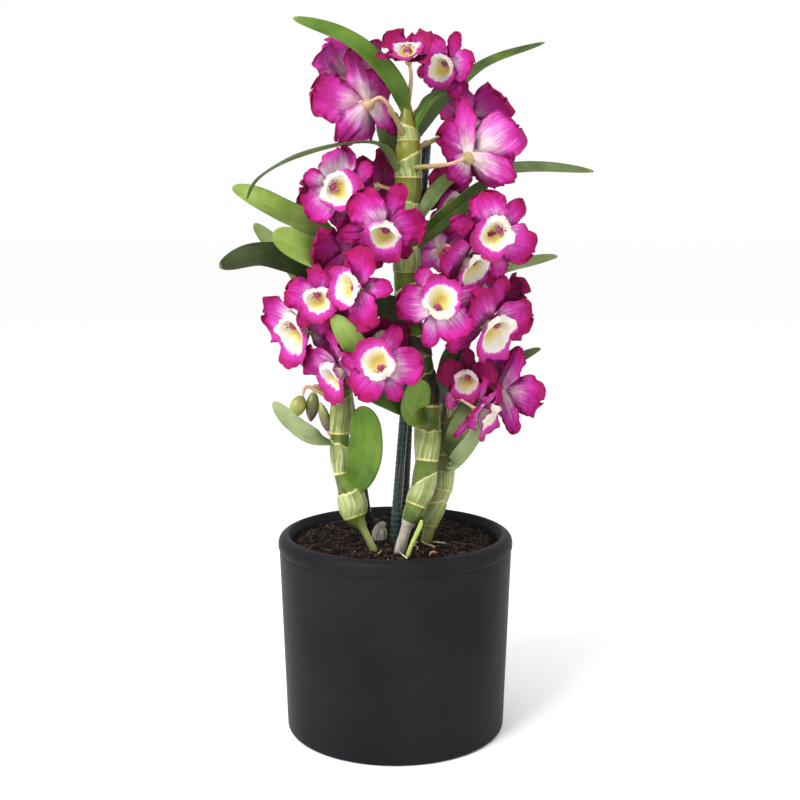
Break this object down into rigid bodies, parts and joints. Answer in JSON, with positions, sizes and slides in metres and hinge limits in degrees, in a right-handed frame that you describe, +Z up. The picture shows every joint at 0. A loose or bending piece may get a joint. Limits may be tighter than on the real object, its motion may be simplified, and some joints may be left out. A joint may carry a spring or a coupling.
{
  "type": "potted dendrobium orchid",
  "caption": "Noble dendrobium orchid in a round charcoal pot: jointed leafy canes with magenta, white-throated blooms, held up by stakes in soil; an ornamental houseplant.",
  "frame": {"origin": "centre of the pot's underside", "axes": "+Z up out of the pot along the canes, -Y towards the side that most blooms face, +X to the right seen from there"},
  "size_m": [0.227, 0.1518, 0.44],
  "materials": {
    "pot": "matte charcoal, satin on the rim",
    "soil": "dark crumbly peat with fine fibres",
    "green_stake": "satin, finely ridged",
    "black_stake": "satin",
    "cane": "fleshy green stem in papery sheaths",
    "dry_bulb": "dry, ribbed, silvery straw",
    "leaf": "satin leaf",
    "petal": "velvety petal, white and yellow at the throat"
  },
  "bodies": {
    "root": {"pot": "pot", "soil": "soil", "stake_green": "green_stake", "stake_rear": "black_stake", "stake_left": "black_stake", "cane_left": "cane", "cane_centre": "cane", "cane_right": "cane", "young_shoot": "cane", "old_bulb": "dry_bulb", "leaf_arch_left": "leaf", "leaf_arch_right": "leaf", "leaf_centre_dark": "leaf", "leaf_centre_left": "leaf", "leaf_centre_low": "leaf", "leaf_centre_short": "leaf", "leaf_crown_back": "leaf", "leaf_crown_left": "leaf", "leaf_crown_right": "leaf", "leaf_crown_short": "leaf", "leaf_front_right": "leaf", "leaf_left_back": "leaf", "leaf_left_broad": "leaf", "leaf_left_dark": "leaf", "leaf_left_front": "leaf", "leaf_low_edge": "leaf", "leaf_low_left": "leaf", "leaf_right_green": "leaf", "leaf_right_grey": "leaf", "leaf_right_high": "leaf", "leaf_right_pale": "leaf", "bloom_centre": "petal", "bloom_centre_high": "petal", "bloom_centre_left": "petal", "bloom_centre_low": "petal", "bloom_centre_shade": "petal", "bloom_crown_left": "petal", "bloom_crown_right": "petal", "bloom_left_behind": "petal", "bloom_left_edge": "petal", "bloom_left_high": "petal", "bloom_left_low": "petal", "bloom_left_side": "petal", "bloom_left_under": "petal", "bloom_rear_high": "petal", "bloom_right_back": "petal", "bloom_right_edge": "petal", "bloom_right_foot": "petal", "bloom_right_high": "petal", "bloom_right_low": "petal", "bloom_right_mid": "petal", "bloom_right_shade": "petal", "bloom_right_under": "petal", "bloom_shade_left": "petal", "bloom_shade_right": "petal", "bloom_upper_left": "petal", "bloom_upper_left_back": "petal", "bloom_upper_right": "petal", "bloom_upper_right_back": "petal", "flower_bud": "petal"}
  },
  "joints": []
}
